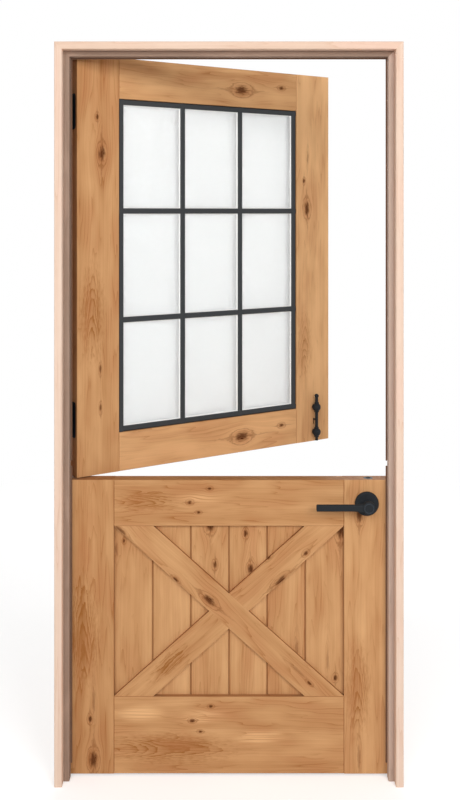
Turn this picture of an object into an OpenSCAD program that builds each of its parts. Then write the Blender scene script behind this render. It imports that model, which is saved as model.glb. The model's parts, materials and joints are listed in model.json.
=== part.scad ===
// Dutch stable door: a glazed upper leaf and a boarded lower leaf hung in one frame.
// X runs along the wall, Y through it, Z up. The origin is in the middle of the doorway,
// at floor level and half way through the frame. The leaves swing towards +Y.

/* [Leaves] */
// Width of each leaf
leaf_w = 914; // [800:1:1000]
// Thickness of each leaf
leaf_t = 45; // [42:0.5:54]
// Height of the lower leaf
lower_h = 825; // [720:1:950]
// Height of the upper leaf
upper_h = 1195; // [1000:1:1300]
// Width of the stiles
stile_w = 134; // [126:1:150]
// Chamfer along the long edges of stiles, rails and frame
edge_ease = 1.6; // [0.5:0.1:2]
// Angle at which the upper leaf stands open
upper_open = 34; // [20:1:90]
// Length of the tenons on the rails
tenon_len = 30; // [20:1:34]
// Thickness of the tenons
tenon_t = 15; // [10:1:18]
// Shoulder above and below each tenon
tenon_shoulder = 18; // [12:1:25]
// Glue room round each tenon
tenon_gap = 0.15; // [0.05:0.05:0.4]

/* [Running gaps] */
// Gap between a leaf and a side jamb
side_gap = 3; // [2.5:0.1:4]
// Gap between the upper leaf and the head
head_gap = 3; // [2:0.1:5]
// Gap between the two leaves
meeting_gap = 3; // [2:0.1:5]
// Gap under the lower leaf
floor_gap = 6; // [3:0.5:15]

/* [Frame] */
// Thickness of the jambs and the head
jamb_t = 21; // [20:0.5:32]
// Depth of the frame through the wall
jamb_d = 105; // [100:1:160]
// Width of the stops
stop_w = 16; // [12:0.5:20]
// Depth of the stops
stop_d = 28; // [20:0.5:34]
// Room between the stops and the closed leaves
stop_gap = 2; // [1.6:0.1:3]

/* [Weather seals] */
// Width of the seal's flat back
seal_w = 10; // [6:0.5:12]
// Radius of the seal's round lip
seal_lip_r = 2.1; // [1.7:0.1:2.6]
// Room between a seal and the closed leaf
seal_clear = 0.3; // [0.2:0.05:0.6]
// Height at which the side seals end above the floor
seal_foot = 39; // [20:1:60]
// Break in the side seals above the meeting of the leaves
seal_break = 15; // [8:1:25]
// Height of that break above the lower leaf
seal_break_up = 40; // [25:1:60]

/* [Upper leaf] */
// Height of the upper leaf's top rail
upper_top_rail_h = 118; // [100:1:140]
// Height of the upper leaf's bottom rail
upper_bottom_rail_h = 112; // [100:1:140]
// Thickness of each glass pane
pane_t = 4; // [3:0.5:5]
// Thickness of the sealed glass unit
unit_t = 24; // [18:0.5:26]
// Width of the spacer between the two panes
spacer_w = 10; // [6:0.5:12]
// Room round the glass in its opening
glass_gap = 0.5; // [0.3:0.1:1.5]
// Width of the grille bars
bar_w = 16; // [12:0.5:22]
// Chamfer on the grille bars
bar_ease = 2.5; // [1:0.1:3.5]
// Depth of the grille below the leaf's face
bar_recess = 3; // [1:0.5:6]
// Panes across
panes_across = 3; // [2:1:4]
// Panes up
panes_up = 3; // [2:1:4]

/* [Lower leaf] */
// Height of the lower leaf's top rail
lower_top_rail_h = 130; // [124:1:150]
// Height of the lower leaf's bottom rail
lower_bottom_rail_h = 216; // [150:1:260]
// Thickness of the boards
board_t = 16; // [14:0.5:18]
// Depth of the boards in the frame's groove
board_in = 9; // [6:0.5:11]
// Gap between boards
board_gap = 0.4; // [0.2:0.1:1]
// Depth of the V joint between boards
board_v = 3; // [1:0.1:4]
// Length of the boards' tongues
tongue_len = 6; // [4:0.5:8]
// Thickness of the boards' tongues
tongue_t = 5; // [4:0.5:6]
// Room round the tongues and in the grooves
tongue_gap = 0.2; // [0.1:0.05:0.5]
// Width of a brace, measured along the rail
brace_run = 110; // [80:1:130]
// Depth of the braces below the leaf's face
brace_recess = 2.5; // [1:0.5:4]
// Gap at the butt joints of the short braces
brace_gap = 0.2; // [0.1:0.05:0.5]

/* [Hinges] */
// Height of a hinge
hinge_h = 102; // [90:1:115]
// Width of a hinge plate from the back of the leaf
hinge_plate_w = 36; // [32:1:38]
// Thickness of a hinge plate
hinge_plate_t = 2.6; // [2:0.1:3]
// Corner radius of a hinge plate
hinge_corner_r = 10; // [6:1:14]
// Radius of the knuckles
knuckle_r = 6.5; // [6:0.1:6.8]
// Radius of the hinge pins
pin_r = 3.2; // [2.5:0.1:3.6]
// Running clearance round the hinge pins
pin_clear = 0.05; // [0.02:0.01:0.09]
// Gap between knuckles
knuckle_gap = 0.5; // [0.3:0.1:1]
// Distance of the pin behind the leaf's back face
pin_off = 7.2; // [7:0.1:9]
// Distance of a hinge's middle from the top or bottom of its leaf
hinge_inset = 160; // [130:1:190]
// Radius of the screw shanks
screw_r = 2.2; // [1.8:0.1:2.5]
// Radius of the screw heads
screw_head_r = 4.2; // [3.6:0.1:4.6]
// Length of the screws
screw_len = 18; // [14:1:19]
// Clearance round the screws
screw_clear = 0.05; // [0.03:0.01:0.1]

/* [Lever and latch] */
// Distance of the spindle from the free edge of the leaf
backset = 70; // [60:1:76]
// Distance of the spindle below the lower leaf's top
lever_drop = 66; // [64:1:80]
// Radius of the roses
rose_r = 33.5; // [31:0.5:38]
// Thickness of the roses
rose_t = 9; // [7:0.5:12]
// Rounding of the roses' rim
rose_round = 3.5; // [2:0.5:5]
// Radius of the cross bore under the roses
cross_bore_r = 27; // [24:0.5:28]
// Length of the lever from spindle to tip
lever_len = 145; // [110:1:160]
// Height of the lever's arm
lever_h = 18.5; // [15:0.5:22]
// Thickness of the lever's arm
lever_t = 13; // [10:0.5:16]
// Distance of the arm's middle from the leaf's face
lever_stand = 46; // [40:0.5:60]
// Rounding of the arm's long edges
arm_round = 4.5; // [3:0.5:5]
// Rounding of the arm's tip
tip_round = 4; // [2:0.5:5]
// Radius of the lever's round boss
boss_r = 18; // [14:0.5:20]
// Radius of the lever's neck
neck_r = 10.5; // [9.5:0.1:12]
// Side of the square spindle
spindle_w = 8; // [7:0.1:9]
// Radius of the tubular latch case
latch_case_r = 11.5; // [10.5:0.1:12.5]
// Height of the latch bolt
latch_h = 14; // [10:0.5:16]
// Thickness of the latch bolt
latch_w = 11; // [8:0.5:12]
// How far the latch bolt stands out of the leaf's edge
latch_throw = 12.5; // [10:0.1:13]
// Running clearance of the latch bolt
latch_clear = 0.2; // [0.1:0.05:0.4]
// Height of the latch's face plate
face_plate_h = 57; // [50:1:65]
// Width of the latch's face plate
face_plate_w = 25; // [23:0.5:28]
// Thickness of the latch's face plate and of the strike plate
face_plate_t = 2; // [1.5:0.1:2.5]
// Height of the strike plate
strike_h = 70; // [60:1:80]
// Room round the latch bolt in the strike plate
strike_clear = 1; // [0.5:0.1:2]

/* [Leaf bolt] */
// Distance of the leaf bolt from the free edge
bolt_inset = 63; // [56:1:66]
// Radius of the bolt's rod
rod_r = 5; // [4:0.1:6]
// Distance of the rod's axis from the leaf's face
rod_stand = 15; // [15:0.5:22]
// Radius of the ball knob on the rod
ball_r = 7; // [6:0.5:9]
// Height of the ball's middle above the upper leaf's bottom
ball_up = 149; // [145:1:165]
// Radius of the two round guides
guide_r = 13.5; // [12:0.5:14.5]
// Height of the lower guide above the upper leaf's bottom
guide_low = 31; // [26:1:36]
// Distance between the two guides
guide_pitch = 81; // [76:1:88]
// Travel of the bolt
bolt_throw = 14; // [10:0.5:14]
// Radius of the drop bolt in the stile
drop_r = 6; // [5:0.1:7]
// Length of the drop bolt
drop_len = 90; // [80:1:100]
// Running clearance of the rod and the drop bolt
bolt_clear = 0.3; // [0.2:0.05:0.5]
// Radius of the strike cup's flange
cup_flange_r = 13.5; // [12:0.5:15]
// Depth of the strike cup
cup_depth = 28; // [20:1:32]

/* [Hidden] */
$fn = 48;
cut = 1;
seat = 0.02;

// Heights
lower_z0 = floor_gap;
lower_z1 = lower_z0 + lower_h;
upper_z0 = lower_z1 + meeting_gap;
upper_z1 = upper_z0 + upper_h;
head_z = upper_z1 + head_gap;
frame_top = head_z + jamb_t;

// Places across the doorway
leaf_x = leaf_w / 2;
jamb_x = leaf_x + side_gap;
frame_x = jamb_x + jamb_t;
stile_x = leaf_x - stile_w;
stop_x = jamb_x - stop_w;

// Places through the wall
frame_y = jamb_d / 2;
back_y = frame_y;
face_y = back_y - leaf_t;
mid_y = face_y + leaf_t / 2;
stop_y = face_y - stop_gap;

// Hinges
pin_x = -leaf_x - side_gap / 2;
pin_y = back_y + pin_off;
knuckles = 5;
knuckle_h = hinge_h / knuckles;
hinge_z = [upper_z1 - hinge_inset, upper_z0 + hinge_inset, lower_z1 - hinge_inset, lower_z0 + hinge_inset];
plate_end = pin_y - knuckle_r - knuckle_gap;
plate_back = min(plate_end, back_y);
screw_head_h = screw_head_r - screw_r;
screw_near = hinge_plate_w * 0.34;
screw_far = hinge_plate_w * 0.66;
screw_outer = hinge_h * 0.37;
screw_inner = hinge_h * 0.16;
screw_spots = [
    [screw_near, screw_outer], [screw_near, -screw_outer],
    [screw_far, screw_inner], [screw_far, -screw_inner]
];
pin_cap_h = 3;
pin_cap_in = 1.2;
pin_cap_r = knuckle_r - pin_cap_in;

// Weather seals
seal_y1 = face_y - seal_clear;
lip_in = 0.1;
lip_off = seal_lip_r + lip_in;
seal_end_gap = 0.3;
seal_z_break = lower_z1 + seal_break_up;
seal_top = head_z - stop_w - 2 * seal_lip_r - seal_end_gap;

// Lower leaf's panel
panel_x0 = -stile_x;
panel_x1 = stile_x;
panel_z0 = lower_z0 + lower_bottom_rail_h;
panel_z1 = lower_z1 - lower_top_rail_h;
board_count = 6;
board_w = (panel_x1 - panel_x0) / board_count;
groove_room = 1;
groove_d = board_in + groove_room;
brace_t = (leaf_t - board_t) / 2 - brace_recess;

// Glazing
light_x = stile_x;
light_z0 = upper_z0 + upper_bottom_rail_h;
light_z1 = upper_z1 - upper_top_rail_h;
pane_x = light_x - glass_gap;
pane_z0 = light_z0 + glass_gap;
pane_z1 = light_z1 - glass_gap;
bar_d = (leaf_t - unit_t) / 2 - bar_recess;

// Lever, latch and strike
lever_x = leaf_x - backset;
lever_z = lower_z1 - lever_drop;
face_plate_x = leaf_x - face_plate_t;
case_end = 2;
case_x0 = lever_x - spindle_w - case_end;
case_wall = 1.5;
case_bore_r = latch_case_r - case_wall;
spindle_room = 0.35;
spindle_hole_r = spindle_w / sqrt(2) + spindle_room;
latch_room = 1;
latch_tail_x = lever_x + spindle_hole_r + latch_throw + latch_room;
latch_shoulder_x = face_plate_x - latch_throw - latch_room;
latch_tail_r = case_bore_r - latch_clear;
latch_tip_x = leaf_x + latch_throw;
latch_tip_flat = 2;
latch_bevel_x = leaf_x + latch_room;
face_screw_in = 7;
face_screw_dz = face_plate_h / 2 - face_screw_in;
strike_y0 = mid_y - face_plate_w / 2;
strike_lip_more = 8;
strike_lip_h = latch_h + strike_lip_more;
strike_screw_in = 9;
strike_screw_dz = strike_h / 2 - strike_screw_in;
neck_clear = 0.05;
socket_end = 8;
socket_d = lever_stand - socket_end;
arm_flare = 20;
arm_flare_h = 4;
arm_flare_t = lever_t - arm_round;
boss_more = 3;
boss_t = lever_t + boss_more;
boss_round = 3;
ring_r = boss_r * 0.68;
ring_w = 1.4;
ring_d = 1;
round_steps = 6;

// Leaf bolt
bolt_x = leaf_x - bolt_inset;
rod_y = face_y - rod_stand;
rod_up = 4;
rod_z0 = upper_z0 + rod_up;
ball_z = upper_z0 + ball_up;
guide_z = [upper_z0 + guide_low, upper_z0 + guide_low + guide_pitch];
collar_wall = 2.5;
collar_r = rod_r + collar_wall;
collar_past = 2;
collar_h = guide_r + collar_past;
guide_foot_in = 6;
guide_foot_r = guide_r - guide_foot_in;
drive_r = rod_r * 0.5;
drive_z = upper_z0 + guide_low + guide_pitch / 2;
drop_up = 1;
drop_z0 = upper_z0 + drop_up;
cup_room = 0.9;
cup_wall = 1.6;
cup_bore_r = drop_r + cup_room;
cup_r = cup_bore_r + cup_wall;
cup_flange_t = 2.5;
cup_floor = 2;

leaf_wood = "#C8935F";
frame_wood = "#F3D5BE";
stop_grey = "#A08C7E";
seal_brown = "#5A4030";
bar_black = "#434547";
iron_black = "#22282E";
steel_grey = "#8C8F92";
glass_tint = "#E9EEEE";
spacer_grey = "#6A6D70";

// Swings what it holds about the hinge pins, from closed to where the upper leaf stands
module opened() {
    translate([pin_x, pin_y, 0])
        rotate([0, 0, upper_open])
            translate([-pin_x, -pin_y, 0])
                children();
}

// Box between two corners
module block(x0, x1, y0, y1, z0, z1) {
    translate([x0, y0, z0])
        cube([x1 - x0, y1 - y0, z1 - z0]);
}

// Corners of a rectangle with chamfers
function eased(a0, a1, b0, b1, c) = [
    [a0 + c, b0], [a1 - c, b0], [a1, b0 + c], [a1, b1 - c],
    [a1 - c, b1], [a0 + c, b1], [a0, b1 - c], [a0, b0 + c]
];

// Quarter circle of a rounded corner about a middle, from one angle on
function corner(a, b, r, from) = [
    for (i = [0 : round_steps])
        [a + r * cos(from + 90 * i / round_steps), b + r * sin(from + 90 * i / round_steps)]
];

// Upright timber with chamfered edges
module upright(x0, x1, y0, y1, z0, z1) {
    translate([0, 0, z0])
        linear_extrude(z1 - z0)
            polygon(eased(x0, x1, y0, y1, edge_ease));
}

// Level timber with chamfered edges
module crossbar(x0, x1, y0, y1, z0, z1) {
    translate([x0, 0, 0])
        rotate([90, 0, 90])
            linear_extrude(x1 - x0)
                polygon(eased(y0, y1, z0, z1, edge_ease));
}

// Outline drawn in X and Z, carried from y0 to y1
module slab(points, y0, y1) {
    translate([0, y1, 0])
        rotate([90, 0, 0])
            linear_extrude(y1 - y0)
                polygon(points);
}

// Round bar along X, Y or Z
module bar_x(x0, x1, y, z, r) {
    translate([x0, y, z])
        rotate([0, 90, 0])
            cylinder(h = x1 - x0, r = r);
}
module bar_y(x, y0, y1, z, r) {
    translate([x, y1, z])
        rotate([90, 0, 0])
            cylinder(h = y1 - y0, r = r);
}
module bar_z(x, y, z0, z1, r) {
    translate([x, y, z0])
        cylinder(h = z1 - z0, r = r);
}

// Corner pieces that the mitres cut away, on the side given by s
module upright_mitre(s, x_in, x_out, z_in, z_out) {
    slab([
        [s * (x_out + cut), z_out + cut],
        [s * (x_in - cut), z_in - cut],
        [s * (x_in - cut), z_out + cut]
    ], -jamb_d, jamb_d);
}
module crossbar_mitre(s, x_in, x_out, z_in, z_out) {
    slab([
        [s * (x_out + cut), z_out + cut],
        [s * (x_in - cut), z_in - cut],
        [s * (x_out + cut), z_in - cut]
    ], -jamb_d, jamb_d);
}

// Wood screw with a countersunk head, driven along X from a face at x towards s
module screw_form(s, x, y, z, room) {
    translate([x, y, z])
        rotate([0, s * 90, 0]) {
            cylinder(h = screw_head_h, r1 = screw_head_r + room, r2 = screw_r + room);
            cylinder(h = screw_len + (room > 0 ? cut : 0), r = screw_r + room);
        }
}
module hinge_screws(s, x, zc, room) {
    for (spot = screw_spots)
        screw_form(s, x, back_y - spot[0], zc + spot[1], room);
}

// Flat of a hinge plate with two round corners, grown all round for its mortise
module plate_blank(x0, x1, zc, room, y_end) {
    r = hinge_corner_r + room;
    y0 = back_y - hinge_plate_w - room;
    z0 = zc - hinge_h / 2 - room;
    z1 = zc + hinge_h / 2 + room;
    block(x0, x1, y0 + r, y_end, z0, z1);
    block(x0, x1, y0, y_end, z0 + r, z1 - r);
    bar_x(x0, x1, y0 + r, z0 + r, r);
    bar_x(x0, x1, y0 + r, z1 - r, r);
}

// Butt hinge plate with its own knuckles: first is 0 for the frame's, 1 for the leaf's
module hinge_leaf(s, x_face, zc, first) {
    x0 = min(x_face, x_face + s * hinge_plate_t);
    x1 = max(x_face, x_face + s * hinge_plate_t);
    difference() {
        union() {
            plate_blank(x0, x1, zc, 0, plate_back);
            for (k = [first : 2 : knuckles - 1]) {
                z0 = zc - hinge_h / 2 + k * knuckle_h + knuckle_gap / 2;
                z1 = z0 + knuckle_h - knuckle_gap;
                bar_z(pin_x, pin_y, z0, z1, knuckle_r);
                block(x0, x1, plate_back - cut, pin_y, z0, z1);
            }
        }
        bar_z(pin_x, pin_y, zc - hinge_h, zc + hinge_h, pin_r + pin_clear);
        hinge_screws(s, x_face, zc, screw_clear);
    }
}

// What a hinge takes out of the wood that carries it
module hinge_mortise(s, x_face, zc) {
    x_in = x_face + s * hinge_plate_t;
    x_out = x_face - s * cut;
    plate_blank(min(x_in, x_out), max(x_in, x_out), zc, seat, back_y + cut);
    hinge_screws(s, x_face, zc, screw_clear);
}

// Frame

module hinge_jamb() {
    color(frame_wood)
        difference() {
            upright(-frame_x, -jamb_x, -frame_y, frame_y, 0, frame_top);
            upright_mitre(-1, jamb_x, frame_x, head_z, frame_top);
            for (zc = hinge_z)
                hinge_mortise(-1, -jamb_x, zc);
        }
}

module strike_jamb() {
    pocket_h = latch_h / 2 + strike_clear + cut;
    pocket_w = latch_w / 2 + strike_clear + cut;
    color(frame_wood)
        difference() {
            upright(jamb_x, frame_x, -frame_y, frame_y, 0, frame_top);
            upright_mitre(1, jamb_x, frame_x, head_z, frame_top);
            strike_blank(jamb_x - cut, jamb_x + face_plate_t, seat, cut);
            block(jamb_x, jamb_x + latch_throw + cut, mid_y - pocket_w, mid_y + pocket_w,
                lever_z - pocket_h, lever_z + pocket_h);
            strike_screws(screw_clear);
        }
}

module head_jamb() {
    color(frame_wood)
        difference() {
            crossbar(-frame_x, frame_x, -frame_y, frame_y, head_z, frame_top);
            for (s = [-1, 1])
                crossbar_mitre(s, jamb_x, frame_x, head_z, frame_top);
        }
}

module side_stop(s) {
    color(stop_grey)
        difference() {
            upright(min(s * stop_x, s * jamb_x), max(s * stop_x, s * jamb_x),
                stop_y - stop_d, stop_y, 0, head_z);
            upright_mitre(s, stop_x, jamb_x, head_z - stop_w, head_z);
        }
}
module hinge_side_stop() side_stop(-1);
module strike_side_stop() side_stop(1);

module head_stop() {
    color(stop_grey)
        difference() {
            crossbar(-jamb_x, jamb_x, stop_y - stop_d, stop_y, head_z - stop_w, head_z);
            for (s = [-1, 1])
                crossbar_mitre(s, stop_x, jamb_x, head_z - stop_w, head_z);
        }
}

// Seal strip along Z against the back of a stop, with a round lip past the stop's edge
module side_seal_run(s, z0, z1) {
    x_edge = stop_x - lip_off;
    x_back = stop_x + seal_w;
    block(min(s * x_edge, s * x_back), max(s * x_edge, s * x_back), stop_y, seal_y1, z0, z1);
    bar_z(s * x_edge, seal_y1 - seal_lip_r, z0, z1, seal_lip_r);
}
module side_seal(s) {
    color(seal_brown) {
        side_seal_run(s, seal_foot, seal_z_break);
        side_seal_run(s, seal_z_break + seal_break, seal_top);
    }
}
module hinge_side_seal() side_seal(-1);
module strike_side_seal() side_seal(1);

module head_seal() {
    z_edge = head_z - stop_w - lip_off;
    x_end = stop_x + seal_w;
    color(seal_brown) {
        block(-x_end, x_end, stop_y, seal_y1, z_edge, head_z - stop_w + seal_w);
        bar_x(-stop_x + seat, stop_x - seat, seal_y1 - seal_lip_r, z_edge, seal_lip_r);
    }
}

// Strike plate: let into the jamb, with its lip running out to the jamb's back edge
module strike_blank(x0, x1, room, past) {
    block(x0, x1, strike_y0 - room, mid_y + face_plate_w / 2 + room,
        lever_z - strike_h / 2 - room, lever_z + strike_h / 2 + room);
    block(x0, x1, mid_y, back_y + past,
        lever_z - strike_lip_h / 2 - room, lever_z + strike_lip_h / 2 + room);
}
module strike_screws(room) {
    for (s = [-1, 1])
        screw_form(1, jamb_x, mid_y, lever_z + s * strike_screw_dz, room);
}
module strike_plate() {
    hole_h = latch_h / 2 + strike_clear;
    hole_w = latch_w / 2 + strike_clear;
    color(iron_black)
        difference() {
            strike_blank(jamb_x, jamb_x + face_plate_t, 0, 0);
            block(jamb_x - cut, jamb_x + face_plate_t + cut, mid_y - hole_w, mid_y + hole_w,
                lever_z - hole_h, lever_z + hole_h);
            strike_screws(screw_clear);
        }
}

module hinge_frame_leaf(n) {
    color(iron_black)
        hinge_leaf(-1, -jamb_x, hinge_z[n], 0);
}
module hinge_1_frame_leaf() hinge_frame_leaf(0);
module hinge_2_frame_leaf() hinge_frame_leaf(1);
module hinge_3_frame_leaf() hinge_frame_leaf(2);
module hinge_4_frame_leaf() hinge_frame_leaf(3);

// Loose pins with a button at each end
module hinge_pins() {
    color(iron_black)
        for (zc = hinge_z) {
            z0 = zc - hinge_h / 2 + knuckle_gap / 2;
            z1 = zc + hinge_h / 2 - knuckle_gap / 2;
            bar_z(pin_x, pin_y, z0 - pin_cap_h, z1 + pin_cap_h, pin_r);
            bar_z(pin_x, pin_y, z1, z1 + pin_cap_h, pin_cap_r);
            bar_z(pin_x, pin_y, z0 - pin_cap_h, z0, pin_cap_r);
        }
}

module frame_screws() {
    color(iron_black) {
        for (zc = hinge_z)
            hinge_screws(-1, -jamb_x, zc, 0);
        strike_screws(0);
    }
}

// Joinery shared by both leaves

// Tenon on a rail's end, or the mortise that takes it when room is given
module tenon(s, z0, z1, room) {
    x_end = stile_x + tenon_len + (room > 0 ? cut : 0);
    x_in = stile_x - cut;
    block(min(s * x_in, s * x_end), max(s * x_in, s * x_end),
        mid_y - tenon_t / 2 - room, mid_y + tenon_t / 2 + room,
        z0 + tenon_shoulder - room, z1 - tenon_shoulder + room);
}
module rail(z0, z1) {
    intersection() {
        crossbar(-stile_x, stile_x, face_y, back_y, z0, z1);
        upright(-stile_x, stile_x, face_y, back_y, z0, z1);
    }
    for (s = [-1, 1])
        tenon(s, z0, z1, 0);
}
module stile(s, z0, z1) {
    upright(min(s * stile_x, s * leaf_x), max(s * stile_x, s * leaf_x), face_y, back_y, z0, z1);
}

// Upper leaf

module upper_mortises(s) {
    tenon(s, light_z1, upper_z1, tenon_gap);
    tenon(s, upper_z0, light_z0, tenon_gap);
}

module upper_hinge_stile() {
    color(leaf_wood)
        opened()
            difference() {
                stile(-1, upper_z0, upper_z1);
                upper_mortises(-1);
                for (n = [0, 1])
                    hinge_mortise(1, -leaf_x, hinge_z[n]);
            }
}

// The lock stile holds the drop bolt in a bore, with a slot behind the rod for its arm
module upper_lock_stile() {
    slot_r = drive_r + bolt_clear;
    color(leaf_wood)
        opened()
            difference() {
                stile(1, upper_z0, upper_z1);
                upper_mortises(1);
                bar_z(bolt_x, mid_y, upper_z0 - cut, drop_z0 + drop_len + bolt_clear, drop_r + bolt_clear);
                block(bolt_x - slot_r, bolt_x + slot_r, face_y - cut, mid_y, drive_z - bolt_throw, drive_z);
                for (z = [drive_z - bolt_throw, drive_z])
                    bar_y(bolt_x, face_y - cut, mid_y, z, slot_r);
            }
}

module upper_top_rail() {
    color(leaf_wood)
        opened()
            rail(light_z1, upper_z1);
}

module upper_bottom_rail() {
    color(leaf_wood)
        opened()
            rail(upper_z0, light_z0);
}

// Sealed glass unit: two panes held apart by a spacer along their edges
module glass_sheet(y0) {
    color(glass_tint)
        opened()
            block(-pane_x, pane_x, y0, y0 + pane_t, pane_z0, pane_z1);
}
module glass_pane() glass_sheet(mid_y - unit_t / 2);
module rear_glass_pane() glass_sheet(mid_y + unit_t / 2 - pane_t);

module glazing_spacer() {
    half_gap = unit_t / 2 - pane_t;
    color(spacer_grey)
        opened()
            difference() {
                block(-pane_x, pane_x, mid_y - half_gap, mid_y + half_gap, pane_z0, pane_z1);
                block(-pane_x + spacer_w, pane_x - spacer_w, mid_y - unit_t, mid_y + unit_t,
                    pane_z0 + spacer_w, pane_z1 - spacer_w);
            }
}

// Section of a grille bar at a, from the glass at b0 to its chamfered outer face at b1
function bar_section(a, b0, b1, c) = [
    [a - bar_w / 2, b0], [a + bar_w / 2, b0], [a + bar_w / 2, b1 - c],
    [a + bar_w / 2 - abs(c), b1], [a - bar_w / 2 + abs(c), b1], [a - bar_w / 2, b1 - c]
];
function swapped(points) = [for (p = points) [p[1], p[0]]];

// Grille of divided lights on one side of the glass: side is -1 at the front, 1 at the back
module grille(side) {
    b0 = mid_y + side * unit_t / 2;
    b1 = b0 + side * bar_d;
    c = side * bar_ease;
    across = 2 * pane_x - bar_w;
    up = pane_z1 - pane_z0 - bar_w;
    color(bar_black)
        opened() {
            for (i = [0 : panes_across])
                translate([0, 0, pane_z0])
                    linear_extrude(pane_z1 - pane_z0)
                        polygon(bar_section(-across / 2 + i * across / panes_across, b0, b1, c));
            for (i = [0 : panes_up])
                translate([-pane_x, 0, 0])
                    rotate([90, 0, 90])
                        linear_extrude(2 * pane_x)
                            polygon(swapped(
                                bar_section(pane_z0 + bar_w / 2 + i * up / panes_up, b0, b1, c)));
        }
}
module front_grille() grille(-1);
module rear_grille() grille(1);

module hinge_door_leaf(n) {
    color(iron_black)
        hinge_leaf(1, -leaf_x, hinge_z[n], 1);
}
module hinge_1_door_leaf() opened() hinge_door_leaf(0);
module hinge_2_door_leaf() opened() hinge_door_leaf(1);

module upper_leaf_screws() {
    color(iron_black)
        opened()
            for (n = [0, 1])
                hinge_screws(1, -leaf_x, hinge_z[n], 0);
}

// Leaf bolt: a rod in two round guides drives a drop bolt inside the stile

module bolt_guide(z) {
    color(iron_black)
        opened()
            difference() {
                union() {
                    translate([bolt_x, rod_y, z])
                        sphere(r = guide_r);
                    bar_z(bolt_x, rod_y, z - collar_h, z + collar_h, collar_r);
                    bar_y(bolt_x, rod_y, face_y, z, guide_foot_r);
                }
                bar_z(bolt_x, rod_y, z - 2 * guide_r, z + 2 * guide_r, rod_r + bolt_clear);
            }
}
module bolt_upper_guide() bolt_guide(guide_z[1]);
module bolt_lower_guide() bolt_guide(guide_z[0]);

module bolt_rod() {
    color(iron_black)
        opened() {
            bar_z(bolt_x, rod_y, rod_z0, ball_z, rod_r);
            translate([bolt_x, rod_y, ball_z])
                sphere(r = ball_r);
            bar_y(bolt_x, rod_y, mid_y + drop_r / 2, drive_z, drive_r);
        }
}

module drop_bolt() {
    color(steel_grey)
        opened()
            difference() {
                bar_z(bolt_x, mid_y, drop_z0, drop_z0 + drop_len, drop_r);
                bar_y(bolt_x, mid_y - 2 * drop_r, mid_y + drop_r / 2 + seat, drive_z, drive_r + seat);
            }
}

// Lower leaf

module lower_mortises(s) {
    tenon(s, panel_z1, lower_z1, tenon_gap);
    tenon(s, lower_z0, panel_z0, tenon_gap);
}

// Groove round the panel for the boards
module panel_groove() {
    block(panel_x0 - groove_d, panel_x1 + groove_d,
        mid_y - board_t / 2 - tongue_gap, mid_y + board_t / 2 + tongue_gap,
        panel_z0 - groove_d, panel_z1 + groove_d);
}

module lower_hinge_stile() {
    color(leaf_wood)
        difference() {
            stile(-1, lower_z0, lower_z1);
            lower_mortises(-1);
            panel_groove();
            for (n = [2, 3])
                hinge_mortise(1, -leaf_x, hinge_z[n]);
        }
}

// The lock stile is bored through for the levers, from its edge for the latch
// and from its top for the strike cup
module lower_lock_stile() {
    color(leaf_wood)
        difference() {
            stile(1, lower_z0, lower_z1);
            lower_mortises(1);
            panel_groove();
            bar_y(lever_x, face_y - cut, back_y + cut, lever_z, cross_bore_r);
            bar_x(lever_x, leaf_x + cut, mid_y, lever_z, latch_case_r + seat);
            face_plate_blank(face_plate_x, leaf_x + cut, seat);
            face_plate_screws(screw_clear);
            bar_z(bolt_x, mid_y, lower_z1 - cup_depth - seat, lower_z1 + cut, cup_r + seat);
            bar_z(bolt_x, mid_y, lower_z1 - cup_flange_t, lower_z1 + cut, cup_flange_r + seat);
        }
}

module lower_top_rail() {
    color(leaf_wood)
        difference() {
            rail(panel_z1, lower_z1);
            panel_groove();
        }
}

module lower_bottom_rail() {
    color(leaf_wood)
        difference() {
            rail(lower_z0, panel_z0);
            panel_groove();
        }
}

// Board of the panel: tongue on its right edge, groove in its left, V joints on both faces
module panel_board(i) {
    is_first = i == 0;
    is_last = i == board_count - 1;
    x0 = panel_x0 + i * board_w + (is_first ? -board_in : board_gap / 2);
    x1 = panel_x0 + (i + 1) * board_w + (is_last ? board_in : -board_gap / 2);
    y0 = mid_y - board_t / 2;
    y1 = mid_y + board_t / 2;
    slot_t = tongue_t / 2 + tongue_gap;
    slot_x = x0 + tongue_len;
    tongue_x = x1 + tongue_len - board_gap;
    left = is_first ? [[x0, y1], [x0, y0]] : [
        [x0 + board_v, y1], [x0, y1 - board_v], [x0, mid_y + slot_t], [slot_x, mid_y + slot_t],
        [slot_x, mid_y - slot_t], [x0, mid_y - slot_t], [x0, y0 + board_v], [x0 + board_v, y0]
    ];
    right = is_last ? [[x1, y0], [x1, y1]] : [
        [x1 - board_v, y0], [x1, y0 + board_v], [x1, mid_y - tongue_t / 2],
        [tongue_x, mid_y - tongue_t / 2], [tongue_x, mid_y + tongue_t / 2],
        [x1, mid_y + tongue_t / 2], [x1, y1 - board_v], [x1 - board_v, y1]
    ];
    color(leaf_wood)
        translate([0, 0, panel_z0 - board_in])
            linear_extrude(panel_z1 - panel_z0 + 2 * board_in)
                polygon(concat(left, right));
}
module board_1() panel_board(0);
module board_2() panel_board(1);
module board_3() panel_board(2);
module board_4() panel_board(3);
module board_5() panel_board(4);
module board_6() panel_board(5);

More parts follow.
